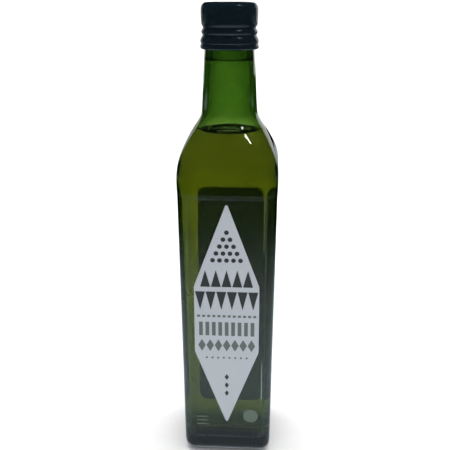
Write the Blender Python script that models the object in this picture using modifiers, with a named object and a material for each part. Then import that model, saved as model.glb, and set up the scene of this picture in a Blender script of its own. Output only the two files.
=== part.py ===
# Tall square olive oil bottle of dark green glass, with oil, a rolled-on metal cap and two labels.
# Metres, +Z up, the front face looks along -Y, the origin is under the middle of the base.
import math

import bmesh
import bpy

# Driving sizes
TOTAL_H = 0.269
BODY_TOP_HALF = 0.0283
BODY_FOOT_HALF = 0.0263
BODY_TOP_Z = 0.1655
TURN_FOOT_Z = 0.172
INNER_LINE_Z = 0.176
CORNER_R = 0.0066
HEEL_R = 0.0065
NECK_FOOT_Z = 0.2084
WALL = 0.0026
NECK_WALL = 0.0034
FINISH_WALL = 0.0042
WALL_GROWS_Z = (0.196, 0.214)
FINISH_GROWS_Z = (0.2374, 0.2394)
MOUTH_Z = 0.2677
INNER_HEEL_R = 0.0080
STAND_WIDTH = 0.0042
BASE_DISH_H = 0.0017
FLOOR_RISE = 0.0013
FLOOR_Z = 0.0070
OIL_LEVEL = 0.1975
GAP = 0.0003
CAP_H = 0.0253
CAP_R = 0.016
CAP_SEGMENTS = 56
LABEL_T = 0.00016
LABEL_LIFT = 0.00008
FRONT_LABEL = (0.0114, 0.1645, 0.0228, 0.0030)
BACK_LABEL = (0.0178, 0.1623, 0.0201, 0.0050)

# Outer half width of the glass above the body, from its panels' upper ledge to the mouth.
# The shoulder swells a little over the panels, then runs in a long curve into the round neck.
SHOULDER = (
    (0.1675, 0.02847),
    (0.1720, 0.02859),
    (0.1760, 0.02865),
    (0.1790, 0.02853),
    (0.1820, 0.02819),
    (0.1851, 0.02757),
    (0.1881, 0.02663),
    (0.1911, 0.02540),
    (0.1942, 0.02397),
    (0.1972, 0.02239),
    (0.2002, 0.02057),
    (0.2033, 0.01846),
    (0.2058, 0.01704),
    (0.2083, 0.01610),
    (0.2124, 0.01571),
    (0.2205, 0.01527),
    (0.2326, 0.01464),
    (0.2373, 0.01439),
    (0.2395, 0.01427),
    (0.2407, 0.01421),
    (0.2457, 0.01388),
    (0.2629, 0.01380),
    (0.2666, 0.01365),
    (0.2674, 0.01305),
)

# One quarter of a section: the flat sides need few points, the corners more.
QUARTER = (0.0, 11.0, 22.0, 32.0, 36.5, 41.0, 45.0, 49.0, 53.5, 58.0, 68.0, 79.0)
ANGLES = tuple(math.radians(90.0 * quarter + a) for quarter in range(4) for a in QUARTER)


def clear_scene():
    for obj in list(bpy.data.objects):
        bpy.data.objects.remove(obj)


def material(name, colour, roughness, metallic=0.0, transmission=0.0):
    made = bpy.data.materials.new(name)
    made.use_nodes = True
    shader = made.node_tree.nodes["Principled BSDF"]
    shader.inputs["Base Color"].default_value = (*colour, 1.0)
    shader.inputs["Roughness"].default_value = roughness
    shader.inputs["Metallic"].default_value = metallic
    shader.inputs["Transmission Weight"].default_value = transmission
    return made


def smooth(t):
    t = min(max(t, 0.0), 1.0)
    return t * t * (3.0 - 2.0 * t)


def outer_half(z):
    """Half the width of the glass at this height, without the rounded heel."""
    if z <= BODY_TOP_Z:
        return BODY_FOOT_HALF + (BODY_TOP_HALF - BODY_FOOT_HALF) * z / BODY_TOP_Z
    points = ((BODY_TOP_Z, BODY_TOP_HALF),) + SHOULDER
    for (z0, h0), (z1, h1) in zip(points, points[1:]):
        if z <= z1:
            return h0 + (h1 - h0) * (z - z0) / (z1 - z0)
    return SHOULDER[-1][1]


def corner_share(z):
    """Corner radius over half width: a square section below, a circle at the neck's foot."""
    low = CORNER_R / BODY_TOP_HALF
    return low + (1.0 - low) * smooth((z - TURN_FOOT_Z) / (NECK_FOOT_Z - TURN_FOOT_Z))


def reach(angle, half, radius):
    """Distance from the axis to a rounded square's outline, in this direction."""
    c, s = abs(math.cos(angle)), abs(math.sin(angle))
    c, s = max(c, s), min(c, s)
    flat = half - radius
    if half * s / c <= flat:
        return half / c
    along = flat * (c + s)
    return along + math.sqrt(max(along * along - 2.0 * flat * flat + radius * radius, 0.0))


def section(z, half, radius):
    return [
        (reach(a, half, radius) * math.cos(a), reach(a, half, radius) * math.sin(a), z)
        for a in ANGLES
    ]


def outer_section(z, inset=0.0):
    half = outer_half(z)
    radius = half * corner_share(z)
    return section(z, half - inset, max(radius - inset, 0.002))


def inner_section(z, inset):
    """The glass's inside runs straight past the panels' ledge, at this depth under the outside."""
    half = outer_half(z)
    if z < INNER_LINE_Z:
        half = BODY_FOOT_HALF + (outer_half(INNER_LINE_Z) - BODY_FOOT_HALF) * z / INNER_LINE_Z
    return section(z, half - inset, max(half * corner_share(z) - inset, 0.002))


def wall_at(z):
    """Thickness of the glass at this height: thicker in the neck, and again under the cap."""
    low, high = WALL_GROWS_Z
    neck = WALL + (NECK_WALL - WALL) * smooth((z - low) / (high - low))
    low, high = FINISH_GROWS_Z
    return neck + (FINISH_WALL - NECK_WALL) * smooth((z - low) / (high - low))


def heel_rows(cut, inset, floor, radius, steps):
    """Rounded foot of a square solid, from its flat bottom up to its side."""
    rows = []
    for step in range(steps + 1):
        turn = math.pi / 2.0 * step / steps
        z = floor + radius * (1.0 - math.cos(turn))
        rows.append(cut(z, inset + radius * (1.0 - math.sin(turn))))
    return rows


def add_rings(mesh, rows):
    return [[mesh.verts.new(point) for point in row] for row in rows]


def bridge(mesh, rings):
    for low, high in zip(rings, rings[1:]):
        count = len(low)
        for i in range(count):
            j = (i + 1) % count
            mesh.faces.new((low[i], low[j], high[j], high[i]))


def fan(mesh, ring, centre, upward):
    middle = mesh.verts.new(centre)
    count = len(ring)
    for i in range(count):
        j = (i + 1) % count
        corners = (ring[i], ring[j], middle) if upward else (ring[j], ring[i], middle)
        mesh.faces.new(corners)


def finish_mesh(name, mesh, shade):
    bmesh.ops.recalc_face_normals(mesh, faces=mesh.faces)
    data = bpy.data.meshes.new(name)
    mesh.to_mesh(data)
    mesh.free()
    made = bpy.data.objects.new(name, data)
    bpy.context.scene.collection.objects.link(made)
    data.materials.append(shade)
    return made


def body_heights(low, high):
    """Heights of the section rows between two levels: few on the straight body, many above."""
    levels = [0.060, 0.115, BODY_TOP_Z - 0.006, BODY_TOP_Z] + [z for z, _ in SHOULDER]
    return [z for z in levels if low + 0.0006 < z < high - 0.0006]


def build_bottle():
    """The glass: outer wall, lip of the open mouth, inner wall and a slightly raised floor."""
    mesh = bmesh.new()
    heel = heel_rows(outer_section, 0.0, 0.0, HEEL_R, 5)
    ring_inside = outer_section(0.0, HEEL_R + STAND_WIDTH)
    dish = [(x * 0.82, y * 0.82, BASE_DISH_H * 0.75) for x, y, _ in ring_inside]
    outer = [dish, ring_inside] + heel
    outer += [outer_section(z) for z in body_heights(HEEL_R, TOTAL_H)]
    lip = [outer_section(MOUTH_Z, 0.0004), outer_section(MOUTH_Z, 0.0018)]
    lip.append(outer_section(MOUTH_Z - 0.0004, 0.0022))
    heights = sorted(body_heights(FLOOR_Z + INNER_HEEL_R, MOUTH_Z - 0.0002), reverse=True)
    inner = [inner_section(z, wall_at(z)) for z in heights]
    inner += reversed(heel_rows(inner_section, WALL, FLOOR_Z, INNER_HEEL_R, 4))
    floor_ring = [(x * 0.55, y * 0.55, FLOOR_Z + FLOOR_RISE * 0.7) for x, y, _ in inner[-1]]
    rings = add_rings(mesh, outer + lip + inner + [floor_ring])
    bridge(mesh, rings)
    fan(mesh, rings[0], (0.0, 0.0, BASE_DISH_H), False)
    fan(mesh, rings[-1], (0.0, 0.0, FLOOR_Z + FLOOR_RISE), True)
    glass = material("glass", (0.02, 0.07, 0.01), 0.04, 0.0, 0.9)
    return finish_mesh("bottle", mesh, glass)


def build_oil():
    """The oil up to the level that shows, just clear of the glass."""
    mesh = bmesh.new()
    foot = FLOOR_Z + GAP + 0.0001
    rows = heel_rows(inner_section, WALL + GAP, foot, INNER_HEEL_R - 0.0002, 4)
    heights = body_heights(FLOOR_Z + INNER_HEEL_R, OIL_LEVEL) + [OIL_LEVEL]
    rows += [inner_section(z, wall_at(z) + GAP) for z in heights]
    floor_ring = [(x * 0.55, y * 0.55, foot + FLOOR_RISE * 0.8) for x, y, _ in rows[0]]
    rings = add_rings(mesh, [floor_ring] + rows)
    bridge(mesh, rings)
    fan(mesh, rings[0], (0.0, 0.0, foot + FLOOR_RISE), False)
    fan(mesh, rings[-1], (0.0, 0.0, OIL_LEVEL), True)
    return finish_mesh("oil", mesh, material("oil", (0.35, 0.38, 0.0), 0.02, 0.0, 0.9))


def cap_profile():
    """Half section of the cap's metal: outside from the top down, then the inside back up."""
    top = TOTAL_H
    foot = TOTAL_H - CAP_H
    outside = (
        (0.0000, top),
        (CAP_R - 0.0034, top),
        (CAP_R - 0.0020, top - 0.0003),
        (CAP_R - 0.0009, top - 0.0012),
        (CAP_R - 0.0002, top - 0.0024),
        (CAP_R, top - 0.0036),
        (CAP_R, top - 0.0070),
        (CAP_R - 0.0002, top - 0.0100),
        (CAP_R - 0.0003, top - 0.0117),
        (CAP_R - 0.0009, top - 0.0128),
        (CAP_R - 0.0013, top - 0.0135),
        (CAP_R - 0.0011, top - 0.0142),
        (CAP_R - 0.0004, top - 0.0151),
        (CAP_R - 0.0002, top - 0.0158),
        (CAP_R - 0.0004, top - 0.0165),
        (CAP_R - 0.0010, top - 0.0172),
        (CAP_R - 0.0010, top - 0.0178),
        (CAP_R - 0.0001, top - 0.0190),
        (CAP_R + 0.0003, top - 0.0200),
        (CAP_R + 0.0004, top - 0.0216),
        (CAP_R - 0.0001, top - 0.0220),
        (CAP_R - 0.0001, top - 0.0224),
        (CAP_R + 0.0004, top - 0.0228),
        (CAP_R + 0.0004, top - 0.0243),
        (CAP_R + 0.0001, top - 0.0249),
        (CAP_R - 0.0008, foot),
    )
    inside = (
        (CAP_R - 0.0013, foot + 0.0004),
        (CAP_R - 0.0008, foot + 0.0010),
        (CAP_R - 0.0007, foot + 0.0024),
        (CAP_R - 0.0007, foot + 0.0046),
        (CAP_R - 0.0017, foot + 0.0062),
        (CAP_R - 0.0018, foot + 0.0125),
        (CAP_R - 0.0010, foot + 0.0140),
        (CAP_R - 0.0010, top - 0.0030),
        (CAP_R - 0.0022, top - 0.0010),
        (0.0000, top - 0.0010),
    )
    return outside + inside


def build_cap():
    """Thin metal cap, turned: smooth skirt, two rolled grooves, and the band at its foot."""
    points = cap_profile()
    data = bpy.data.meshes.new("cap")
    edges = [(i, i + 1) for i in range(len(points) - 1)]
    data.from_pydata([(x, 0.0, z) for x, z in points], edges, [])
    cap = bpy.data.objects.new("cap", data)
    bpy.context.scene.collection.objects.link(cap)
    turn = cap.modifiers.new("turn", "SCREW")
    turn.steps = CAP_SEGMENTS
    turn.render_steps = CAP_SEGMENTS
    turn.use_merge_vertices = True
    turn.merge_threshold = 0.00002
    turn.use_normal_calculate = True
    data.materials.append(material("cap_metal", (0.01, 0.02, 0.03), 0.25, 0.9))
    return cap


def build_label(name, size, front, shade):
    """A sheet that follows the glass: flat on the face, bent a little round its corners."""
    low, high, half_arc, corner = size
    columns = 26
    rows = 14
    mesh = bmesh.new()
    grid = []
    for r in range(rows + 1):
        share = r / rows
        line = []
        for c in range(columns + 1):
            across = -1.0 + 2.0 * c / columns
            line.append(mesh.verts.new(label_point(size, front, across, share)))
        grid.append(line)
    for r in range(rows):
        for c in range(columns):
            corners = (grid[r][c], grid[r][c + 1], grid[r + 1][c + 1], grid[r + 1][c])
            mesh.faces.new(corners if front else tuple(reversed(corners)))
    data = bpy.data.meshes.new(name)
    mesh.to_mesh(data)
    mesh.free()
    label = bpy.data.objects.new(name, data)
    bpy.context.scene.collection.objects.link(label)
    thick = label.modifiers.new("thick", "SOLIDIFY")
    thick.thickness = LABEL_T
    thick.offset = 1.0
    data.materials.append(shade)
    return label


def label_point(size, front, across, share):
    low, high, half_arc, corner = size
    # The corners of the sheet are rounded: its ends draw in near the sides.
    z = low + (high - low) * share
    edge = half_arc * abs(across)
    past = max(edge - (half_arc - corner), 0.0)
    draw_in = corner - math.sqrt(max(corner * corner - past * past, 0.0))
    z = (low + draw_in) + (high - low - 2.0 * draw_in) * share
    half = outer_half(z) + LABEL_LIFT
    radius = outer_half(z) * corner_share(z) + LABEL_LIFT
    flat = half - radius
    arc = half_arc * across
    side = math.copysign(1.0, arc)
    if abs(arc) <= flat:
        x, y = arc, -half
    else:
        turn = (abs(arc) - flat) / radius
        x = side * (flat + radius * math.sin(turn))
        y = -(flat + radius * math.cos(turn))
    return (x, y, z) if front else (x, -y, z)


def main():
    clear_scene()
    build_bottle()
    build_oil()
    build_cap()
    film = material("label_film", (0.75, 0.76, 0.78), 0.35)
    paper = material("label_back", (0.02, 0.03, 0.03), 0.6)
    build_label("front_label", FRONT_LABEL, True, film)
    build_label("back_label", BACK_LABEL, False, paper)


main()
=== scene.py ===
"""Looks of a tall square olive oil bottle: dark green glass, oil, lacquered cap, clear front label
with a pale print, dark back label, and the studio around it. Metres, +Z up, the front looks
along -Y."""

import math

import bmesh
import bpy
import numpy as np
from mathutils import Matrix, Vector, noise


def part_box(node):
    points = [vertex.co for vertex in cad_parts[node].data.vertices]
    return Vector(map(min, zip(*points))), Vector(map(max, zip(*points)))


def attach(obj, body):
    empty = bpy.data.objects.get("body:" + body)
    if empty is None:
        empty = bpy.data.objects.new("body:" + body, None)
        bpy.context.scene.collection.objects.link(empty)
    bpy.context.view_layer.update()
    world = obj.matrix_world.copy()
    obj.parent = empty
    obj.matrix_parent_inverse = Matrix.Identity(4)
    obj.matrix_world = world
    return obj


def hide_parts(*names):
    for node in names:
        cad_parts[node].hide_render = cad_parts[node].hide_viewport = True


bl_info = {
    "name": "Olive oil bottle",
    "version": (1, 0, 0),
    "blender": (4, 5, 0),
    "location": "View3D > Sidebar > Bottle",
    "description": "Builds a square olive oil bottle of green glass with its oil, cap and labels",
    "category": "Add Mesh",
}

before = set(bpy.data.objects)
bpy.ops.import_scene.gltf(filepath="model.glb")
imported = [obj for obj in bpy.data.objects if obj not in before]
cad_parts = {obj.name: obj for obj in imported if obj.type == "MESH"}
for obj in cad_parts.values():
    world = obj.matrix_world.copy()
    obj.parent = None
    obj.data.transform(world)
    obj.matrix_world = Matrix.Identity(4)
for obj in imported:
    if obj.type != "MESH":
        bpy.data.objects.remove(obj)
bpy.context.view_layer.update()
_, OIL_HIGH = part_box("oil")
CAP_LOW, CAP_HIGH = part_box("cap")
FILM_LOW, FILM_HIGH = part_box("front_label")
BACK_LOW, BACK_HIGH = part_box("back_label")

# Height at which the wall starts to thicken, and over what height it does so.
NECK_GROWS = (0.196, 0.018)
FINISH_GROWS = (0.2374, 0.0020)
# The lip from outside to inside: height and inset of each ring.
MOUTH_Z = 0.2676
LIP = ((MOUTH_Z, 0.0002), (0.2678, 0.0010), (0.2677, 0.0019), (0.2673, 0.0024))
INNER_TOP_Z = 0.2672
# The hollow under the base, inside its standing ring: share of the ring and height.
STAND_WIDTH = 0.0042
BASE_DISH = ((0.4, 0.0017), (0.8, 0.0014), (0.93, 0.0007))
BASE_DISH_TOP = 0.0018
# The inside floor rises a little to its middle: share of the floor's rim and rise.
FLOOR_CROWN = ((0.7, 0.0005), (0.35, 0.0011))
FLOOR_CROWN_TOP = 0.0013
HEEL_STEPS = 10
INNER_HEEL_STEPS = 8
LEAST_RADIUS = 0.002
# The inside's rings start at this height and wave by this much.
INNER_RINGS_Z = 0.0155
INNER_WAVE = 0.00010
# The oil reaches this far into the wall, and its surface climbs the wall, as oil wets glass.
OIL_INTO_WALL = 0.00012
OIL_CLIMB = 0.0028
CLIMB_FADE = 0.0019
CLIMB_STEPS = (0.0001, 0.0004, 0.0008, 0.0013, 0.0020, 0.0030, 0.0045, 0.0065)
BRIM_GAP = 0.0003
CAP_RADIUS = 0.0160
# Each sheet's half width along the glass, corner radius and the lifts of its two faces.
FILM_ARC, FILM_CORNER, FILM_LIFTS = 0.0228, 0.0030, (0.00001, 0.00012)
# Width of the film's paler rim, and how much of the film shows within it and at the cut edge.
FILM_RIM, FILM_HAZE, FILM_RIM_HAZE = 0.0008, 0.0045, 0.085
BACK_ARC, BACK_CORNER, BACK_LIFTS = 0.0201, 0.0050, (-0.00002, 0.00016)
FIELD_LIFTS = (0.000125, 0.00015)
FIELD_STEPS = 12
PRINT_LIFT, PRINT_THICKNESS = 0.000175, 0.00003

# Outer half width of the glass against height, from the panels' upper ledge to the mouth.
SHOULDER = (
    (0.1655, 0.02830),
    (0.1663, 0.02843),
    (0.1690, 0.02850),
    (0.1720, 0.02859),
    (0.1760, 0.02865),
    (0.1790, 0.02853),
    (0.1820, 0.02819),
    (0.1851, 0.02757),
    (0.1881, 0.02663),
    (0.1911, 0.02540),
    (0.1942, 0.02397),
    (0.1972, 0.02239),
    (0.2002, 0.02057),
    (0.2033, 0.01846),
    (0.2058, 0.01704),
    (0.2083, 0.01610),
    (0.2124, 0.01571),
    (0.2205, 0.01527),
    (0.2326, 0.01464),
    (0.2407, 0.01421),
    (0.2457, 0.01388),
    (0.2629, 0.01380),
    (0.2666, 0.01365),
    (0.2674, 0.01305),
)


class GlassSizes(bpy.types.PropertyGroup):
    foot_half: bpy.props.FloatProperty(
        name="Half width at the foot",
        description="Half the width of the glass at its foot",
        default=0.0263,
        unit="LENGTH",
    )
    body_half: bpy.props.FloatProperty(
        name="Half width of the body",
        description="Half the width where the body meets the shoulder",
        default=0.0283,
        unit="LENGTH",
    )
    body_top: bpy.props.FloatProperty(
        name="Top of the body",
        description="Height at which the straight panels end in a low ledge",
        default=0.1655,
        unit="LENGTH",
    )
    inner_line: bpy.props.FloatProperty(
        name="Inner line",
        description="Height up to which the inside wall is straight",
        default=0.176,
        unit="LENGTH",
    )
    turn_foot: bpy.props.FloatProperty(
        name="Foot of the turn",
        description="Height from which the square section turns round",
        default=0.172,
        unit="LENGTH",
    )
    neck_foot: bpy.props.FloatProperty(
        name="Foot of the neck",
        description="Height at which the section has become round",
        default=0.2084,
        unit="LENGTH",
    )
    corner: bpy.props.FloatProperty(
        name="Corner radius",
        description="Radius of the body's upright corners",
        default=0.0066,
        unit="LENGTH",
    )
    heel: bpy.props.FloatProperty(
        name="Heel radius",
        description="Radius between the base and the walls",
        default=0.0065,
        unit="LENGTH",
    )
    inner_heel: bpy.props.FloatProperty(
        name="Inner heel radius",
        description="Radius between the inside floor and the walls",
        default=0.0080,
        unit="LENGTH",
    )
    wall: bpy.props.FloatProperty(
        name="Body wall",
        description="Thickness of the glass in the body",
        default=0.0026,
        unit="LENGTH",
    )
    neck_wall: bpy.props.FloatProperty(
        name="Neck wall",
        description="Thickness of the glass in the neck",
        default=0.0034,
        unit="LENGTH",
    )
    finish_wall: bpy.props.FloatProperty(
        name="Finish wall",
        description="Thickness of the glass under the cap",
        default=0.0042,
        unit="LENGTH",
    )
    floor: bpy.props.FloatProperty(
        name="Inner floor",
        description="Height of the inside floor over the table",
        default=0.0070,
        unit="LENGTH",
    )
    oil_level: bpy.props.FloatProperty(
        name="Oil level",
        description="Height of the oil's surface",
        default=OIL_HIGH.z,
        unit="LENGTH",
    )


class Finishes(bpy.types.PropertyGroup):
    glass_density: bpy.props.FloatProperty(
        name="Glass density",
        description="How strongly the green glass absorbs light, for each metre",
        default=1000.0,
    )
    oil_density: bpy.props.FloatProperty(
        name="Oil density",
        description="How strongly the oil absorbs light, for each metre",
        default=60.0,
    )
    lacquer: bpy.props.StringProperty(
        name="Cap lacquer",
        description="Colour of the cap's lacquer, as an sRGB hex value",
        default="0b1a21",
    )
    ink_white: bpy.props.StringProperty(
        name="White ink",
        description="Colour of the label's white ink, as an sRGB hex value",
        default="c3c9cf",
    )
    ink_dark: bpy.props.StringProperty(
        name="Dark ink",
        description="Colour of the label's charcoal ink, as an sRGB hex value",
        default="2a2e2f",
    )
    ink_sage: bpy.props.StringProperty(
        name="Sage ink",
        description="Colour of the label's grey-green ink, as an sRGB hex value",
        default="636b68",
    )
    ink_pale: bpy.props.StringProperty(
        name="Pale ink",
        description="Colour of the small marks beside the white field, as an sRGB hex value",
        default="5f6d60",
    )
    field_low: bpy.props.FloatProperty(
        name="Field's lower tip",
        description="Height of the white field's lower tip",
        default=0.0225,
        unit="LENGTH",
    )
    field_low_knee: bpy.props.FloatProperty(
        name="Field's lower knee",
        description="Height below which the white field narrows",
        default=0.0700,
        unit="LENGTH",
    )
    field_high_knee: bpy.props.FloatProperty(
        name="Field's upper knee",
        description="Height above which the white field narrows",
        default=0.1120,
        unit="LENGTH",
    )
    field_high: bpy.props.FloatProperty(
        name="Field's upper tip",
        description="Height of the white field's upper tip",
        default=0.1610,
        unit="LENGTH",
    )
    field_half: bpy.props.FloatProperty(
        name="Field's half width",
        description="Half the greatest width of the white field",
        default=0.0190,
        unit="LENGTH",
    )
    field_tip_half: bpy.props.FloatProperty(
        name="Tip's half width",
        description="Half the width of the white field's blunt tips",
        default=0.0006,
        unit="LENGTH",
    )


def sizes():
    """The scene's sizes, as the panel shows them."""
    return bpy.context.scene.bottle_glass


def finishes():
    """The scene's finishes, as the panel shows them."""
    return bpy.context.scene.bottle_finishes


def linear(code):
    """A linear colour with alpha 1 from an sRGB hex value."""
    out = []
    for start in (0, 2, 4):
        value = int(code[start : start + 2], 16) / 255.0
        out.append(value / 12.92 if value <= 0.04045 else ((value + 0.055) / 1.055) ** 2.4)
    return (*out, 1.0)


def new_material(name):
    """A material with an empty node tree."""
    made = bpy.data.materials.new(name)
    made.use_nodes = True
    made.node_tree.nodes.clear()
    return made


def add_node(tree, kind, settings=None, **links):
    """A node with its settings and its inputs: a socket is linked, anything else is set."""
    made = tree.nodes.new(kind)
    for key, value in (settings or {}).items():
        setattr(made, key, value)
    for key, value in links.items():
        name = key.replace("_", " ")
        socket = made.inputs[int(name[2:])] if name.startswith("at") else made.inputs[name]
        if isinstance(value, bpy.types.NodeSocket):
            tree.links.new(value, socket)
        else:
            socket.default_value = value
    return made


def smooth(t):
    """Eases from nought to one, and stays there on both sides."""
    t = min(max(t, 0.0), 1.0)
    return t * t * (3.0 - 2.0 * t)


def steady_curve(points):
    """A smooth curve through points that never overshoots them, as a function."""
    x = np.array([p[0] for p in points])
    y = np.array([p[1] for p in points])
    step = np.diff(x)
    slope = np.diff(y) / step
    rate = np.zeros(len(x))
    for i in range(1, len(x) - 1):
        if slope[i - 1] * slope[i] > 0.0:
            a = 2.0 * step[i] + step[i - 1]
            b = step[i] + 2.0 * step[i - 1]
            rate[i] = (a + b) / (a / slope[i - 1] + b / slope[i])
    rate[0], rate[-1] = slope[0], slope[-1]

    def value(at):
        i = int(np.clip(np.searchsorted(x, at) - 1, 0, len(x) - 2))
        t = (at - x[i]) / step[i]
        a = (1.0 + 2.0 * t) * (1.0 - t) ** 2 * y[i] + t * t * (3.0 - 2.0 * t) * y[i + 1]
        return a + (t * (1.0 - t) ** 2 * rate[i] - t * t * (1.0 - t) * rate[i + 1]) * step[i]

    return value


SHOULDER_CURVE = steady_curve(SHOULDER)


def outer_half(z):
    """Half the width of the glass at this height, without the rounded heel."""
    size = sizes()
    if z <= size.body_top:
        return size.foot_half + (size.body_half - size.foot_half) * z / size.body_top
    return float(SHOULDER_CURVE(min(z, SHOULDER[-1][0])))


def corner_share(z):
    """Corner radius over half width: a square section below, a circle at the neck's foot."""
    size = sizes()
    low = size.corner / size.body_half
    span = size.neck_foot - size.turn_foot
    return low + (1.0 - low) * smooth((z - size.turn_foot) / span)


def reach(angle, half, radius):
    """Distance from the axis to a rounded square's outline, in this direction."""
    c, s = abs(math.cos(angle)), abs(math.sin(angle))
    c, s = max(c, s), min(c, s)
    flat = half - radius
    if half * s / c <= flat:
        return half / c
    along = flat * (c + s)
    return along + math.sqrt(max(along * along - 2.0 * flat * flat + radius * radius, 0.0))


def ring_angles():
    """Directions round the axis, closer together at the corners."""
    spans = ((0.0, 30.0, 9), (30.0, 60.0, 21), (60.0, 90.0, 9))
    quarter = np.concatenate([np.linspace(*span)[:-1] for span in spans])
    return [math.radians(90.0 * turn + a) for turn in range(4) for a in quarter]


ANGLES = ring_angles()


def section(z, inset=0.0, inside=False):
    """Ring of points on the glass at this height, moved inwards by inset.

    The inside runs straight past the ledge over the panels."""
    size = sizes()
    half = outer_half(z)
    if inside and z < size.inner_line:
        half = size.foot_half + (outer_half(size.inner_line) - size.foot_half) * z / size.inner_line
    radius = max(half * corner_share(z) - inset, LEAST_RADIUS)
    ring = []
    for angle in ANGLES:
        far = reach(angle, half - inset, radius)
        ring.append((far * math.cos(angle), far * math.sin(angle), z))
    return ring


def heel_rings(inset, floor, radius, steps, inside=False):
    """Rings round the quarter bend from a floor up to the wall, from the floor's edge on."""
    rings = []
    for step in range(steps + 1):
        turn = math.pi / 2.0 * step / steps
        z = floor + radius * (1.0 - math.cos(turn))
        rings.append(section(z, inset + radius * (1.0 - math.sin(turn)), inside))
    return rings


def levels(low, high):
    """Heights of the section rings: wide apart on the body, close at the ledge, on the shoulder
    and where the wall thickens under the cap."""
    size = sizes()
    body = np.arange(0.016, size.body_top - 0.003, 0.008)
    ledge = np.arange(size.body_top - 0.0015, size.body_top + 0.0034, 0.0004)
    bend = np.arange(size.body_top + 0.0040, 0.2145, 0.0011)
    neck = np.arange(0.2150, 0.2360, 0.0022)
    step = np.arange(0.2368, 0.2402, 0.0003)
    top = np.array([0.2425, 0.2450, 0.2480, 0.2550, 0.2620, 0.2645, 0.2660, 0.2668])
    return [float(z) for z in np.concatenate((body, ledge, bend, neck, step, top)) if low < z < high]


def shell_from(name, rings, closed_low, closed_high):
    """A smooth-shaded mesh from rings of equal count, with a point closing each end."""
    mesh = bmesh.new()
    made = [[mesh.verts.new(point) for point in ring] for ring in rings]
    count = len(made[0])
    for low, high in zip(made, made[1:]):
        for i in range(count):
            j = (i + 1) % count
            mesh.faces.new((low[i], low[j], high[j], high[i]))
    foot, head = mesh.verts.new(closed_low), mesh.verts.new(closed_high)
    for i in range(count):
        j = (i + 1) % count
        mesh.faces.new((made[0][j], made[0][i], foot))
        mesh.faces.new((made[-1][i], made[-1][j], head))
    return piece_from(name, mesh)


def piece_from(name, mesh):
    """A smooth-shaded object in the scene from a bmesh, which is freed."""
    data = bpy.data.meshes.new(name)
    mesh.to_mesh(data)
    mesh.free()
    data.polygons.foreach_set("use_smooth", [True] * len(data.polygons))
    made = bpy.data.objects.new(name, data)
    bpy.context.scene.collection.objects.link(made)
    return made


def inner_inset(z):
    """Thickness of the glass at this height: thicker in the neck, and again under the cap."""
    size = sizes()
    neck_share = smooth((z - NECK_GROWS[0]) / NECK_GROWS[1])
    finish_share = smooth((z - FINISH_GROWS[0]) / FINISH_GROWS[1])
    neck = size.wall + (size.neck_wall - size.wall) * neck_share
    return neck + (size.finish_wall - size.neck_wall) * finish_share


def waved(ring, amount):
    """Shifts a ring's points a little, as blown glass varies in thickness on its inside."""
    across, upward, least = 55.0, 32.0, 0.004
    moved = []
    for x, y, z in ring:
        far = math.hypot(x, y)
        sample = Vector((x * across, y * across, z * upward))
        push = 1.0 + amount * noise.noise(sample) / max(far, least)
        moved.append((x * push, y * push, z))
    return moved


def inner_ring(z, into=0.0):
    """Ring on the inside of the glass, or reaching a little into it."""
    return waved(section(z, inner_inset(z) - into, True), INNER_WAVE)


def drawn_in(ring, base, steps):
    """Copies of a ring drawn in to a share of its size, each at its own rise over the base."""
    return [[(x * share, y * share, base + rise) for x, y, _ in ring] for share, rise in steps]


def bottle_glass():
    """Dark green soda-lime glass, blown in a mould: clear to look through, green by its depth."""
    look = finishes()
    made = new_material("bottle_glass_dark_green_blown")
    tree = made.node_tree
    place = add_node(tree, "ShaderNodeTexCoord")
    # Faint orange-peel of the mould's skin, about 6 mm across and too low to feel.
    skin = add_node(
        tree,
        "ShaderNodeTexNoise",
        Vector=place.outputs["Object"],
        Scale=160.0,
        Detail=1.0,
        Roughness=0.4,
    )
    bump = add_node(
        tree,
        "ShaderNodeBump",
        Strength=0.06,
        Distance=0.0004,
        Height=skin.outputs["Fac"],
    )
    shader = add_node(
        tree,
        "ShaderNodeBsdfPrincipled",
        Base_Color=(1.0, 1.0, 1.0, 1.0),
        Roughness=0.012,
        IOR=1.51,
        Transmission_Weight=1.0,
        Normal=bump.outputs["Normal"],
    )
    depth = add_node(
        tree,
        "ShaderNodeVolumeAbsorption",
        Color=(0.482, 0.639, 0.198, 1.0),
        Density=look.glass_density,
    )
    out = add_node(tree, "ShaderNodeOutputMaterial", Surface=shader.outputs["BSDF"])
    tree.links.new(depth.outputs["Volume"], out.inputs["Volume"])
    return made


def olive_oil():
    """Filtered olive oil: a clear liquid, yellow-green by its depth."""
    look = finishes()
    made = new_material("olive_oil_filtered")
    tree = made.node_tree
    shader = add_node(
        tree,
        "ShaderNodeBsdfPrincipled",
        Base_Color=(1.0, 1.0, 1.0, 1.0),
        Roughness=0.0,
        IOR=1.47,
        Transmission_Weight=1.0,
    )
    depth = add_node(
        tree,
        "ShaderNodeVolumeAbsorption",
        Color=(0.85, 0.68, 0.06, 1.0),
        Density=look.oil_density,
    )
    out = add_node(tree, "ShaderNodeOutputMaterial", Surface=shader.outputs["BSDF"])
    tree.links.new(depth.outputs["Volume"], out.inputs["Volume"])
    return made


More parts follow.
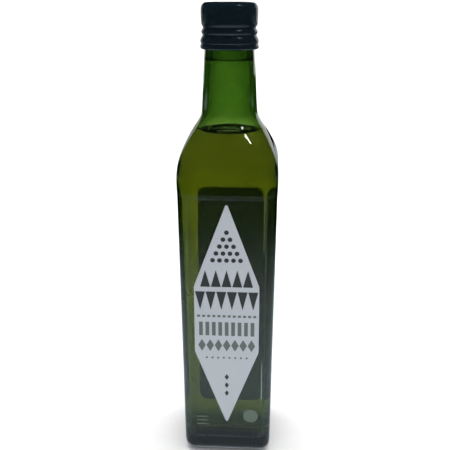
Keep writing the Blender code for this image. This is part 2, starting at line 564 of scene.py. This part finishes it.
def cap_lacquer():
    """Aluminium under glossy black lacquer, rolled on to the neck: dark, with small highlights."""
    made = new_material("aluminium_cap_black_lacquer")
    tree = made.node_tree
    here = add_node(tree, "ShaderNodeTexCoord").outputs["Object"]
    # Rolling leaves fine rings round the skirt, about 0.6 mm apart.
    stretch = add_node(tree, "ShaderNodeMapping", Vector=here, Scale=(30.0, 30.0, 900.0))
    drawn = stretch.outputs["Vector"]
    rings = add_node(tree, "ShaderNodeTexNoise", Vector=drawn, Scale=1.0, Detail=2.0)
    wear = add_node(tree, "ShaderNodeTexNoise", Vector=here, Scale=220.0, Detail=4.0)
    gloss = add_node(
        tree,
        "ShaderNodeMapRange",
        Value=wear.outputs["Fac"],
        at_1=0.35,
        at_2=0.75,
        at_3=0.16,
        at_4=0.30,
    )
    relief = rings.outputs["Fac"]
    bump = add_node(tree, "ShaderNodeBump", Strength=0.12, Distance=0.0001, Height=relief)
    shader = add_node(
        tree,
        "ShaderNodeBsdfPrincipled",
        Base_Color=linear(finishes().lacquer),
        Roughness=gloss.outputs["Result"],
        IOR=1.45,
        Normal=bump.outputs["Normal"],
    )
    add_node(tree, "ShaderNodeOutputMaterial", Surface=shader.outputs["BSDF"])
    return made


def label_film():
    """Clear polypropylene label film: almost unseen, with a paler rim where air sits under its
    cut edge."""
    made = new_material("polypropylene_film_clear")
    tree = made.node_tree
    where = add_node(tree, "ShaderNodeAttribute", {"attribute_name": "rim"})
    rim = add_node(
        tree,
        "ShaderNodeMapRange",
        Value=where.outputs["Fac"],
        at_1=0.0,
        at_2=1.0,
        at_3=FILM_HAZE,
        at_4=FILM_RIM_HAZE,
    )
    shader = add_node(
        tree,
        "ShaderNodeBsdfPrincipled",
        Base_Color=linear("a9b8d4"),
        Roughness=0.25,
        IOR=1.49,
        Alpha=rim.outputs["Result"],
    )
    add_node(tree, "ShaderNodeOutputMaterial", Surface=shader.outputs["BSDF"])
    return made


def white_ink():
    """Screen-printed white ink, satin, slightly uneven in cover."""
    look = finishes()
    made = new_material("screen_ink_white")
    tree = made.node_tree
    here = add_node(tree, "ShaderNodeTexCoord").outputs["Object"]
    cover = add_node(tree, "ShaderNodeTexNoise", Vector=here, Scale=700.0, Detail=3.0)
    tint = add_node(
        tree,
        "ShaderNodeMix",
        {"data_type": "RGBA"},
        Factor=cover.outputs["Fac"],
        A=linear(look.ink_white),
        B=linear("b6bdc4"),
    )
    shader = add_node(
        tree,
        "ShaderNodeBsdfPrincipled",
        Base_Color=tint.outputs["Result"],
        Roughness=0.45,
        IOR=1.49,
    )
    add_node(tree, "ShaderNodeOutputMaterial", Surface=shader.outputs["BSDF"])
    return made


def plain_ink(name, code):
    """Screen-printed spot colour, satin."""
    made = new_material(name)
    tree = made.node_tree
    here = add_node(tree, "ShaderNodeTexCoord").outputs["Object"]
    cover = add_node(tree, "ShaderNodeTexNoise", Vector=here, Scale=900.0, Detail=3.0)
    gloss = add_node(
        tree,
        "ShaderNodeMapRange",
        Value=cover.outputs["Fac"],
        at_1=0.0,
        at_2=1.0,
        at_3=0.38,
        at_4=0.55,
    )
    shader = add_node(
        tree,
        "ShaderNodeBsdfPrincipled",
        Base_Color=linear(code),
        Roughness=gloss.outputs["Result"],
        IOR=1.49,
    )
    add_node(tree, "ShaderNodeOutputMaterial", Surface=shader.outputs["BSDF"])
    return made


def back_paper():
    """Dark coated label paper with a soft sheen."""
    made = new_material("coated_paper_charcoal")
    tree = made.node_tree
    here = add_node(tree, "ShaderNodeTexCoord").outputs["Object"]
    fibre = add_node(tree, "ShaderNodeTexNoise", Vector=here, Scale=1400.0, Detail=4.0)
    relief = fibre.outputs["Fac"]
    bump = add_node(tree, "ShaderNodeBump", Strength=0.15, Distance=0.00005, Height=relief)
    shader = add_node(
        tree,
        "ShaderNodeBsdfPrincipled",
        Base_Color=linear("141b1c"),
        Roughness=0.42,
        Normal=bump.outputs["Normal"],
    )
    add_node(tree, "ShaderNodeOutputMaterial", Surface=shader.outputs["BSDF"])
    return made


def dress(made, look, slot_name, *nodes):
    """Gives a piece its material and its body, and hides the nodes that it stands for. The slot name
    is not used.
    """
    made.data.materials.append(look)
    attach(made, "root")
    if nodes:
        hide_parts(*nodes)
    return made


def label_point(arc, z, lift, front=True):
    """Point of a sheet wrapped on the glass: arc runs across from the middle of the face."""
    base = outer_half(z)
    half = base + lift
    radius = base * corner_share(z) + lift
    flat = half - radius
    side = math.copysign(1.0, arc)
    if abs(arc) <= flat:
        x, y = arc, -half
    else:
        turn = (abs(arc) - flat) / radius
        x = side * (flat + radius * math.sin(turn))
        y = -(flat + radius * math.cos(turn))
    return (x, y, z) if front else (x, -y, z)


def wrapped_sheet(name, outline, low_lift, high_lift, front=True, rim_width=0.0):
    """A thin closed sheet cut to rows of (z, left, right), following the glass."""
    columns = 48
    mesh = bmesh.new()
    rim = mesh.verts.layers.float.new("rim")
    grids = []
    low_z, high_z = outline[0][0], outline[-1][0]
    for lift in (low_lift, high_lift):
        grid = []
        for z, left, right in outline:
            row = []
            for c in range(columns + 1):
                # Columns crowd a little towards the sheet's sides.
                eased = 0.5 - 0.5 * math.cos(math.pi * c / columns)
                share = 0.6 * (c / columns) + 0.4 * eased
                arc = left + (right - left) * share
                vert = mesh.verts.new(label_point(arc, z, lift, front))
                if rim_width:
                    near = min(arc - left, right - arc, z - low_z, high_z - z)
                    vert[rim] = 1.0 - min(max(near / rim_width, 0.0), 1.0)
                row.append(vert)
            grid.append(row)
        grids.append(grid)
    inner, outer = grids
    rows = len(outline) - 1
    for r in range(rows):
        for c in range(columns):
            for grid, turn in ((outer, 1), (inner, -1)):
                corners = (grid[r][c], grid[r][c + 1], grid[r + 1][c + 1], grid[r + 1][c])
                mesh.faces.new(corners[::turn])
        for c, turn in ((0, -1), (columns, 1)):
            corners = (outer[r][c], inner[r][c], inner[r + 1][c], outer[r + 1][c])
            mesh.faces.new(corners[::turn])
    for r, turn in ((0, 1), (rows, -1)):
        for c in range(columns):
            corners = (inner[r][c], inner[r][c + 1], outer[r][c + 1], outer[r][c])
            mesh.faces.new(corners[::turn])
    bmesh.ops.recalc_face_normals(mesh, faces=mesh.faces)
    bmesh.ops.dissolve_degenerate(mesh, dist=1e-7, edges=mesh.edges)
    return piece_from(name, mesh)


def sheet_rows(low, high, half_arc, corner, step=0.003):
    """Rows of a sheet with rounded corners."""
    bend_steps = 8
    bends = [corner * (1.0 - math.cos(math.pi / 2.0 * i / bend_steps)) for i in range(bend_steps)]
    heights = [low + bend for bend in bends]
    heights += list(np.linspace(low + corner, high - corner, int((high - low) / step)))
    heights += [high - bend for bend in reversed(bends)]
    rows = []
    for z in heights:
        past = max(low + corner - z, z - (high - corner), 0.0)
        draw_in = corner - math.sqrt(max(corner * corner - past * past, 0.0))
        rows.append((z, -half_arc + draw_in, half_arc - draw_in))
    return rows


class BOTTLE_OT_glass(bpy.types.Operator):
    """Make the glass: outer wall, lip, inner wall and the hollow under the base"""

    bl_idname = "bottle.make_glass"
    bl_label = "Glass"

    def execute(self, context):
        size = sizes()
        stand = section(0.0, size.heel + STAND_WIDTH)
        rings = drawn_in(stand, 0.0, BASE_DISH) + [stand]
        rings += heel_rings(0.0, 0.0, size.heel, HEEL_STEPS)
        rings += [section(z) for z in levels(size.heel, MOUTH_Z)]
        rings += [section(z, inset) for z, inset in LIP]
        rings += [inner_ring(z) for z in reversed(levels(INNER_RINGS_Z, INNER_TOP_Z))]
        rings += reversed(heel_rings(size.wall, size.floor, size.inner_heel, INNER_HEEL_STEPS, True))
        rings += drawn_in(rings[-1], size.floor, FLOOR_CROWN)
        middle = (0.0, 0.0, size.floor + FLOOR_CROWN_TOP)
        made = shell_from("bottle_glass", rings, (0.0, 0.0, BASE_DISH_TOP), middle)
        dress(made, bottle_glass(), "glass", "bottle")
        return {"FINISHED"}


class BOTTLE_OT_oil(bpy.types.Operator):
    """Make the oil, which reaches just into the wall so that no air shows"""

    bl_idname = "bottle.make_oil"
    bl_label = "Oil"

    def execute(self, context):
        size = sizes()
        into, top = OIL_INTO_WALL, size.oil_level
        floor, brim = size.floor - into, top + OIL_CLIMB
        heel = heel_rings(size.wall - into, floor, size.inner_heel, INNER_HEEL_STEPS, True)
        rings = drawn_in(heel[0], floor, reversed(FLOOR_CROWN)) + heel
        rings += [inner_ring(z, into) for z in levels(INNER_RINGS_Z, brim - BRIM_GAP)]
        rings.append(inner_ring(brim, into))
        for inward in CLIMB_STEPS:
            rise = OIL_CLIMB * math.exp(-inward / CLIMB_FADE)
            rings.append(section(top + rise, inner_inset(top + rise) + inward, True))
        made = shell_from("olive_oil", rings, (0.0, 0.0, floor + FLOOR_CROWN_TOP), (0.0, 0.0, top))
        dress(made, olive_oil(), "oil", "oil")
        return {"FINISHED"}


def cap_section():
    """Outside of the cap from the middle of its top down to its rolled edge, then its inside."""
    top, foot, radius = CAP_HIGH.z, CAP_LOW.z, CAP_RADIUS
    outside = (
        (0.0000, top),
        (radius - 0.0034, top),
        (radius - 0.0020, top - 0.0003),
        (radius - 0.0009, top - 0.0012),
        (radius - 0.0002, top - 0.0024),
        (radius, top - 0.0036),
        (radius, top - 0.0070),
        (radius - 0.0002, top - 0.0100),
        (radius - 0.0003, top - 0.0117),
        (radius - 0.0009, top - 0.0128),
        (radius - 0.0013, top - 0.0135),
        (radius - 0.0011, top - 0.0142),
        (radius - 0.0004, top - 0.0151),
        (radius - 0.0002, top - 0.0158),
        (radius - 0.0004, top - 0.0165),
        (radius - 0.0010, top - 0.0172),
        (radius - 0.0010, top - 0.0178),
        (radius - 0.0001, top - 0.0190),
        (radius + 0.0003, top - 0.0200),
        (radius + 0.0004, top - 0.0216),
        (radius - 0.0001, top - 0.0220),
        (radius - 0.0001, top - 0.0224),
        (radius + 0.0004, top - 0.0228),
        (radius + 0.0004, top - 0.0243),
        (radius + 0.0001, top - 0.0249),
        (radius - 0.0008, foot),
    )
    inside = (
        (radius - 0.0013, foot + 0.0004),
        (radius - 0.0008, foot + 0.0010),
        (radius - 0.0007, foot + 0.0040),
        (radius - 0.0018, foot + 0.0062),
        (radius - 0.0018, foot + 0.0125),
        (radius - 0.0010, foot + 0.0140),
        (radius - 0.0010, top - 0.0030),
        (radius - 0.0022, top - 0.0010),
        (0.0000, top - 0.0010),
    )
    return outside + inside


class BOTTLE_OT_cap(bpy.types.Operator):
    """Make the rolled-on metal cap with its grooves and the band at its foot"""

    bl_idname = "bottle.make_cap"
    bl_label = "Cap"

    def execute(self, context):
        points = cap_section()
        data = bpy.data.meshes.new("cap_metal")
        edges = [(i, i + 1) for i in range(len(points) - 1)]
        data.from_pydata([(x, 0.0, z) for x, z in points], edges, [])
        turned = bpy.data.objects.new("cap_metal", data)
        bpy.context.scene.collection.objects.link(turned)
        turn = turned.modifiers.new("turn", "SCREW")
        turn.steps = 96
        turn.render_steps = 96
        turn.use_merge_vertices = True
        turn.merge_threshold = 0.00002
        turn.use_normal_calculate = True
        turn.use_smooth_shade = True
        round_off = turned.modifiers.new("round", "SUBSURF")
        round_off.levels = 1
        round_off.render_levels = 1
        dress(turned, cap_lacquer(), "cap_metal", "cap")
        return {"FINISHED"}


class BOTTLE_OT_labels(bpy.types.Operator):
    """Make the clear front film and the dark back label"""

    bl_idname = "bottle.make_labels"
    bl_label = "Labels"

    def execute(self, context):
        rows = sheet_rows(FILM_LOW.z, FILM_HIGH.z, FILM_ARC, FILM_CORNER)
        film = wrapped_sheet("front_film", rows, *FILM_LIFTS, True, FILM_RIM)
        dress(film, label_film(), "label_film", "front_label")
        rows = sheet_rows(BACK_LOW.z, BACK_HIGH.z, BACK_ARC, BACK_CORNER)
        back = wrapped_sheet("back_sheet", rows, *BACK_LIFTS, False)
        dress(back, back_paper(), "label_back", "back_label")
        return {"FINISHED"}


UP, DOWN, SQUARE, POINT = math.pi / 2.0, -math.pi / 2.0, math.pi / 4.0, 0.0
# The print's rows: name and ink; columns, rows, their two pitches and the stagger of odd rows;
# place across, height, reach to each side and its widening with height; then the corners, turn,
# width and height of one shape.
PRINT = (
    ("print_dots", "charcoal",
     (9, 5, 0.0040, 0.0042, 0.0020), (0.0, 0.1282, 0.0094, -0.46), (32, POINT, 0.0027, 0.0027)),
    ("print_rays_up", "charcoal",
     (5, 1, 0.0062, 0.0, 0.0), (0.0, 0.1170, 0.0130, 0.0), (3, UP, 0.0058, 0.0105)),
    ("print_rays_down", "charcoal",
     (6, 1, 0.0062, 0.0, 0.0), (0.0, 0.1030, 0.0160, 0.0), (3, DOWN, 0.0058, 0.0115)),
    ("print_dashes", "sage",
     (12, 1, 0.0030, 0.0, 0.0), (0.0, 0.0932, 0.0170, 0.0), (4, SQUARE, 0.0018, 0.0014)),
    ("print_bars", "sage",
     (9, 1, 0.0038, 0.0, 0.0), (0.0, 0.0850, 0.0160, 0.0), (4, SQUARE, 0.0022, 0.0088)),
    ("print_diamonds", "sage",
     (7, 1, 0.0049, 0.0, 0.0), (0.0, 0.0742, 0.0160, 0.0), (4, POINT, 0.0045, 0.0078)),
    ("print_points", "sage",
     (8, 1, 0.0034, 0.0, 0.0), (0.0, 0.0660, 0.0130, 0.0), (24, POINT, 0.0013, 0.0013)),
    ("print_end_diamonds", "charcoal",
     (1, 3, 0.0, 0.0055, 0.0), (0.0, 0.0420, 0.0100, 0.0), (4, POINT, 0.0026, 0.0040)),
    ("print_side_lines", "pale",
     (1, 3, 0.0, 0.0026, 0.0), (-0.0150, 0.0200, 0.0050, 0.0), (4, SQUARE, 0.0070, 0.0007)),
    ("print_side_disc", "pale",
     (1, 1, 0.0, 0.0, 0.0), (0.0145, 0.0265, 0.0050, 0.0), (48, POINT, 0.0090, 0.0090)),
)


def motif_tree():
    """Geometry Nodes: one flat shape repeated in rows on the front panel, inside two slanted sides.

    Every shape is a prism with so many corners, laid on the panel's own slope."""
    tree = bpy.data.node_groups.new("panel_motifs", "GeometryNodeTree")
    for name, kind in (
        ("Columns", "NodeSocketInt"),
        ("Rows", "NodeSocketInt"),
        ("Column pitch", "NodeSocketFloat"),
        ("Row pitch", "NodeSocketFloat"),
        ("Stagger", "NodeSocketFloat"),
        ("Across", "NodeSocketFloat"),
        ("Height", "NodeSocketFloat"),
        ("Reach", "NodeSocketFloat"),
        ("Widening", "NodeSocketFloat"),
        ("Corners", "NodeSocketInt"),
        ("Turn", "NodeSocketFloat"),
        ("Shape width", "NodeSocketFloat"),
        ("Shape height", "NodeSocketFloat"),
        ("Foot half", "NodeSocketFloat"),
        ("Slope", "NodeSocketFloat"),
        ("Lift", "NodeSocketFloat"),
        ("Thickness", "NodeSocketFloat"),
        ("Ink", "NodeSocketMaterial"),
    ):
        tree.interface.new_socket(name=name, in_out="INPUT", socket_type=kind)
    tree.interface.new_socket(name="Mesh", in_out="OUTPUT", socket_type="NodeSocketGeometry")
    given = add_node(tree, "NodeGroupInput").outputs

    def maths(operation, *values):
        links = {f"at_{i}": value for i, value in enumerate(values)}
        return add_node(tree, "ShaderNodeMath", {"operation": operation}, **links).outputs[0]

    index = add_node(tree, "GeometryNodeInputIndex").outputs[0]
    column = maths("MODULO", index, given["Columns"])
    row = maths("FLOOR", maths("DIVIDE", index, given["Columns"]))
    middle = maths("MULTIPLY", maths("SUBTRACT", given["Columns"], 1.0), 0.5)
    along = maths("MULTIPLY", maths("SUBTRACT", column, middle), given["Column pitch"])
    step = maths("MULTIPLY", maths("MODULO", row, 2.0), given["Stagger"])
    across = maths("ADD", along, step)
    rise = maths("MULTIPLY", row, given["Row pitch"])
    spot = add_node(
        tree,
        "ShaderNodeCombineXYZ",
        X=maths("ADD", across, given["Across"]),
        Z=maths("ADD", rise, given["Height"]),
    )
    count = maths("MULTIPLY", given["Columns"], given["Rows"])
    points = add_node(tree, "GeometryNodePoints", Count=count, Position=spot.outputs[0])
    place = add_node(tree, "GeometryNodeInputPosition")
    there = add_node(tree, "ShaderNodeSeparateXYZ", Vector=place.outputs[0])
    far = maths("ABSOLUTE", maths("SUBTRACT", there.outputs["X"], given["Across"]))
    over = maths("SUBTRACT", there.outputs["Z"], given["Height"])
    room = maths("MULTIPLY", over, given["Widening"])
    outside = maths("GREATER_THAN", far, maths("ADD", given["Reach"], room))
    kept = add_node(
        tree,
        "GeometryNodeDeleteGeometry",
        {"domain": "POINT"},
        Geometry=points.outputs[0],
        Selection=outside,
    )
    prism = add_node(
        tree,
        "GeometryNodeMeshCylinder",
        {"fill_type": "NGON"},
        Vertices=given["Corners"],
        Radius=0.5,
        Depth=1.0,
    )
    tilt = add_node(tree, "ShaderNodeCombineXYZ", X=math.pi / 2.0, Y=given["Turn"])
    upright = add_node(
        tree,
        "GeometryNodeTransform",
        Geometry=prism.outputs["Mesh"],
        Rotation=tilt.outputs[0],
    )
    size = add_node(
        tree,
        "ShaderNodeCombineXYZ",
        X=given["Shape width"],
        Y=given["Thickness"],
        Z=given["Shape height"],
    )
    shape = add_node(
        tree,
        "GeometryNodeTransform",
        Geometry=upright.outputs[0],
        Scale=size.outputs[0],
    )
    copies = add_node(
        tree,
        "GeometryNodeInstanceOnPoints",
        Points=kept.outputs[0],
        Instance=shape.outputs[0],
    )
    real = add_node(tree, "GeometryNodeRealizeInstances", Geometry=copies.outputs[0])
    panel = maths("ADD", maths("MULTIPLY", there.outputs["Z"], given["Slope"]), given["Foot half"])
    proud = maths("MULTIPLY", maths("ADD", panel, given["Lift"]), -1.0)
    forward = add_node(tree, "ShaderNodeCombineXYZ", Y=proud)
    laid = add_node(
        tree,
        "GeometryNodeSetPosition",
        Geometry=real.outputs[0],
        Offset=forward.outputs[0],
    )
    inked = add_node(tree, "GeometryNodeSetMaterial", Geometry=laid.outputs[0], Material=given["Ink"])
    add_node(tree, "NodeGroupOutput", Mesh=inked.outputs[0])
    return tree


def grow(name, tree, values):
    """A plain mesh from a Geometry Nodes tree whose inputs get these values."""
    made = bpy.data.objects.new(name, bpy.data.meshes.new(name + "_seed"))
    bpy.context.scene.collection.objects.link(made)
    modifier = made.modifiers.new("grow", "NODES")
    modifier.node_group = tree
    for item in tree.interface.items_tree:
        if item.in_out == "INPUT":
            modifier[item.identifier] = values[item.name]
    ready = made.evaluated_get(bpy.context.evaluated_depsgraph_get())
    mesh = bpy.data.meshes.new_from_object(ready)
    made.modifiers.clear()
    made.data = mesh
    return made


def polygon_box(corners, turn):
    """Width, height and middle height of a polygon of radius one half, turned so."""
    angles = [turn + 2.0 * math.pi * i / corners for i in range(corners)]
    wide = [0.5 * math.cos(a) for a in angles]
    tall = [0.5 * math.sin(a) for a in angles]
    return max(wide) - min(wide), max(tall) - min(tall), (max(tall) + min(tall)) / 2.0


def field_half(z):
    """Half width of the white field: a long hexagon with blunt tips."""
    size = finishes()
    low, high = size.field_low, size.field_high
    low_knee, high_knee = size.field_low_knee, size.field_high_knee
    share = min((z - low) / (low_knee - low), (high - z) / (high - high_knee), 1.0)
    return size.field_tip_half + (size.field_half - size.field_tip_half) * max(share, 0.0)


class BOTTLE_OT_print(bpy.types.Operator):
    """Make the printed shapes of the front label"""

    bl_idname = "bottle.make_print"
    bl_label = "Print"

    def execute(self, context):
        size, look = sizes(), finishes()
        knees = (look.field_low, look.field_low_knee, look.field_high_knee, look.field_high)
        heights = []
        for low, high in zip(knees, knees[1:]):
            heights += list(np.linspace(low, high, FIELD_STEPS + 1)[:-1])
        rows = [(float(z), -field_half(z), field_half(z)) for z in heights + [look.field_high]]
        field = wrapped_sheet("print_field", rows, *FIELD_LIFTS)
        dress(field, white_ink(), "label_film")

        tree = motif_tree()
        codes = (("charcoal", look.ink_dark), ("sage", look.ink_sage), ("pale", look.ink_pale))
        inks = {ink: plain_ink("screen_ink_" + ink, code) for ink, code in codes}
        for name, ink, grid, room, shape in PRINT:
            columns, rows, pitch, rise, stagger = grid
            across, low, reach, widen = room
            corners, turn, wide, tall = shape
            full_width, full_height, middle = polygon_box(corners, turn)
            values = {
                "Columns": columns,
                "Rows": rows,
                "Column pitch": pitch,
                "Row pitch": rise,
                "Stagger": stagger,
                "Across": across,
                "Height": low - middle * tall / full_height,
                "Reach": reach,
                "Widening": widen,
                "Corners": corners,
                "Turn": -turn,
                "Shape width": wide / full_width,
                "Shape height": tall / full_height,
                "Foot half": size.foot_half,
                "Slope": (size.body_half - size.foot_half) / size.body_top,
                "Lift": PRINT_LIFT,
                "Thickness": PRINT_THICKNESS,
                "Ink": inks[ink],
            }
            made = grow(name, tree, values)
            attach(made, "root")
        return {"FINISHED"}


def mirrored(tree):
    """One where a gloss reflects the stage, nought where it is seen straight or through glass."""
    path = add_node(tree, "ShaderNodeLightPath").outputs
    both = {"at_0": path["Is Glossy Ray"], "at_1": path["Is Reflection Ray"]}
    return add_node(tree, "ShaderNodeMath", {"operation": "MULTIPLY"}, **both).outputs[0]


# Painted reflection: what gloss sees of the floor, as start, end and the strengths there, in
# metres: a glowing pool of painted light with painted shade close to the foot, a painted lit strip
# far behind, and a painted glowing patch right of the foot, which paints a thin highlight line down
# the corner. Elsewhere gloss sees the floor black, a painted dark reflection.
POOL_FADE, POOL_FOOT_SHADE = (0.06, 0.50, 1.2, 0.0), (0.03, 0.12, 0.5, 1.0)
STRIP_FADE, STRIP_FLAT = (0.45, 0.90, 0.0, 0.5), (0.0, 0.02, 1.0, 0.0)
# Tint of the painted reflection on the floor, then of the room's light.
PAINTED_REFLECTION_TINT, ROOM_TINT = (0.86, 1.0, 1.12, 1.0), (0.95, 0.97, 1.0, 1.0)
# Strength and sides of the painted glint patch, which glows on the floor only in gloss.
PAINTED_GLINT_STRENGTH = 6.0
PAINTED_GLINT_SIDES = (
    ("X", 0.026, 0.029, 0.0, 1.0),
    ("X", 0.037, 0.041, 1.0, 0.0),
    ("Y", -0.150, -0.120, 0.0, 1.0),
    ("Y", -0.090, -0.080, 1.0, 0.0),
)
# The lights: name, place, aim, width, height, watts and spread in degrees.
LIGHTS = (
    ("key_window", (0.96, -0.50, 1.88), (0.0, -0.02, 0.14), 0.15, 0.13, 0.034, 24.0),
    ("rim_window", (0.50, 1.30, 0.42), (0.0, 0.0, 0.18), 1.10, 0.60, 2.7, 180.0),
    ("left_window", (-0.70, 1.15, 0.34), (0.0, 0.0, 0.18), 0.40, 0.50, 0.55, 180.0),
    ("floor_panel", (0.0, 0.30, 1.10), (0.0, 0.30, 0.0), 3.6, 3.3, 17.0, 24.0),
    ("backdrop_wash", (0.0, 0.45, 1.7), (0.0, 1.9, 0.5), 2.6, 0.8, 22.0, 180.0),
)
# The photo's camera as fitted: lens in millimetres, turn and dip in degrees, distance and height in
# metres, and the pixel of the photo that it looks at.
CAMERA_LENS, CAMERA_TURN, CAMERA_DIP = 57.79, 3.629, 17.715
CAMERA_OUT, CAMERA_HEIGHT = 0.4146, 0.2718
CAMERA_PIXEL, PHOTO_SIDE = (229.59, 227.02), 450.0


class BOTTLE_OT_stage(bpy.types.Operator):
    """Make the pale floor, the soft lights and the camera"""

    bl_idname = "bottle.make_stage"
    bl_label = "Stage"

    def execute(self, context):
        sweep = bmesh.new()
        front, bend, radius, top, side = -2.0, 1.2, 0.8, 3.0, 3.0
        profile = [(front, 0.0), (bend, 0.0)]
        for a in np.linspace(0.0, math.pi / 2.0, 17)[1:]:
            profile.append((bend + radius * math.sin(a), radius - radius * math.cos(a)))
        profile.append((bend + radius, top))
        sides = [[sweep.verts.new((x, y, z)) for y, z in profile] for x in (-side, side)]
        for i in range(len(profile) - 1):
            sweep.faces.new((sides[0][i], sides[1][i], sides[1][i + 1], sides[0][i + 1]))
        floor = piece_from("studio_floor", sweep)
        paint = new_material("studio_floor_with_painted_reflection")
        tree = paint.node_tree
        here = add_node(tree, "ShaderNodeTexCoord").outputs["Object"]
        grain = add_node(tree, "ShaderNodeTexNoise", Vector=here, Scale=90.0, Detail=3.0)
        tone = add_node(
            tree,
            "ShaderNodeMix",
            {"data_type": "RGBA"},
            Factor=grain.outputs["Fac"],
            A=linear("f6f6f4"),
            B=linear("f1f1ef"),
        )
        shade = tone.outputs["Result"]
        lit = add_node(tree, "ShaderNodeBsdfPrincipled", Base_Color=shade, Roughness=0.85)
        spot = add_node(tree, "ShaderNodeSeparateXYZ", Vector=here)
        apart = add_node(tree, "ShaderNodeVectorMath", {"operation": "LENGTH"}, at_0=here)

        def ramp(value, start, end, low, high):
            return add_node(
                tree,
                "ShaderNodeMapRange",
                {"interpolation_type": "SMOOTHSTEP"},
                Value=value,
                at_1=start,
                at_2=end,
                at_3=low,
                at_4=high,
            ).outputs["Result"]

        def maths(operation, first, second):
            kind = {"operation": operation}
            return add_node(tree, "ShaderNodeMath", kind, at_0=first, at_1=second).outputs[0]

        away = apart.outputs["Value"]
        # Painted reflection: a glowing pool with painted shade near the foot, and a painted lit strip
        # far behind.
        pool = maths("MULTIPLY", ramp(away, *POOL_FADE), ramp(away, *POOL_FOOT_SHADE))
        back, level = spot.outputs["Y"], spot.outputs["Z"]
        behind = maths("MULTIPLY", ramp(back, *STRIP_FADE), ramp(level, *STRIP_FLAT))
        # Painted glint: a small glowing patch on the floor right of the foot, seen only in gloss.
        painted_glint = PAINTED_GLINT_STRENGTH
        for axis, *span in PAINTED_GLINT_SIDES:
            painted_glint = maths("MULTIPLY", painted_glint, ramp(spot.outputs[axis], *span))
        shine = maths("MAXIMUM", maths("MAXIMUM", pool, behind), painted_glint)
        # The painted reflection glows only where gloss sees the floor; elsewhere gloss sees it black.
        painted_glow = add_node(tree, "ShaderNodeEmission", Color=PAINTED_REFLECTION_TINT, Strength=shine)
        surface = add_node(
            tree,
            "ShaderNodeMixShader",
            at_0=mirrored(tree),
            at_1=lit.outputs["BSDF"],
            at_2=painted_glow.outputs["Emission"],
        )
        add_node(tree, "ShaderNodeOutputMaterial", Surface=surface.outputs["Shader"])
        floor.data.materials.append(paint)

        for name, place, aim, width, height, power, spread in LIGHTS:
            lamp = bpy.data.lights.new(name, "AREA")
            lamp.shape = "RECTANGLE"
            lamp.size, lamp.size_y = width, height
            lamp.energy = power
            lamp.spread = math.radians(spread)
            holder = bpy.data.objects.new(name, lamp)
            holder.location = place
            holder.visible_camera = False
            # The windows show in gloss and not through the glass, the two over the set the reverse.
            holder.visible_glossy = name.endswith("window")
            holder.visible_transmission = not name.endswith("window")
            holder.rotation_euler = (Vector(aim) - Vector(place)).to_track_quat("-Z", "Y").to_euler()
            bpy.context.scene.collection.objects.link(holder)

        world = bpy.data.worlds.new("studio")
        world.use_nodes = True
        tree = world.node_tree
        tree.nodes.clear()
        # The tent lights the set, the room is dimmer through the glass, and flags keep gloss dark.
        tent, dusk, flags = (
            add_node(tree, "ShaderNodeBackground", Color=ROOM_TINT, Strength=strength)
            for strength in (0.62, 0.40, 0.04)
        )
        path = add_node(tree, "ShaderNodeLightPath")
        room = add_node(
            tree,
            "ShaderNodeMixShader",
            at_0=path.outputs["Is Transmission Ray"],
            at_1=tent.outputs["Background"],
            at_2=dusk.outputs["Background"],
        )
        both = add_node(
            tree,
            "ShaderNodeMixShader",
            at_0=mirrored(tree),
            at_1=room.outputs["Shader"],
            at_2=flags.outputs["Background"],
        )
        add_node(tree, "ShaderNodeOutputWorld", Surface=both.outputs["Shader"])
        bpy.context.scene.world = world
        bpy.context.scene.view_settings.view_transform = "Standard"

        camera = bpy.data.cameras.new("camera")
        camera.sensor_width = 36.0
        camera.lens = CAMERA_LENS
        camera.clip_start = 0.01
        eye = bpy.data.objects.new("camera", camera)
        bpy.context.scene.collection.objects.link(eye)
        turn, dip = math.radians(CAMERA_TURN), math.radians(CAMERA_DIP)
        eye.location = (CAMERA_OUT * math.sin(turn), -CAMERA_OUT * math.cos(turn), CAMERA_HEIGHT)
        level = math.cos(dip)
        look = Vector((-math.sin(turn) * level, math.cos(turn) * level, -math.sin(dip)))
        eye.rotation_euler = look.to_track_quat("-Z", "Y").to_euler()
        camera.shift_x = (PHOTO_SIDE / 2.0 - CAMERA_PIXEL[0]) / PHOTO_SIDE
        camera.shift_y = (CAMERA_PIXEL[1] - PHOTO_SIDE / 2.0) / PHOTO_SIDE
        bpy.context.scene.camera = eye
        return {"FINISHED"}


class BOTTLE_PT_panel(bpy.types.Panel):
    """The bottle's pieces and finishes"""

    bl_label = "Bottle"
    bl_idname = "BOTTLE_PT_panel"
    bl_space_type = "VIEW_3D"
    bl_region_type = "UI"
    bl_category = "Bottle"

    def draw(self, context):
        layout = self.layout
        for group in (context.scene.bottle_glass, context.scene.bottle_finishes):
            box = layout.box()
            for key in group.bl_rna.properties.keys():
                if key not in {"rna_type", "name"}:
                    box.prop(group, key)
        for operator in OPERATORS:
            layout.operator(operator.bl_idname)


OPERATORS = (
    BOTTLE_OT_glass,
    BOTTLE_OT_oil,
    BOTTLE_OT_cap,
    BOTTLE_OT_labels,
    BOTTLE_OT_print,
    BOTTLE_OT_stage,
)
CLASSES = (GlassSizes, Finishes, *OPERATORS, BOTTLE_PT_panel)


def register():
    for kind in CLASSES:
        bpy.utils.register_class(kind)
    bpy.types.Scene.bottle_glass = bpy.props.PointerProperty(type=GlassSizes)
    bpy.types.Scene.bottle_finishes = bpy.props.PointerProperty(type=Finishes)


def unregister():
    del bpy.types.Scene.bottle_finishes
    del bpy.types.Scene.bottle_glass
    for kind in reversed(CLASSES):
        bpy.utils.unregister_class(kind)


def main():
    register()
    bpy.ops.bottle.make_glass()
    bpy.ops.bottle.make_oil()
    bpy.ops.bottle.make_cap()
    bpy.ops.bottle.make_labels()
    bpy.ops.bottle.make_print()
    bpy.ops.bottle.make_stage()


if __name__ == "__main__":
    main()
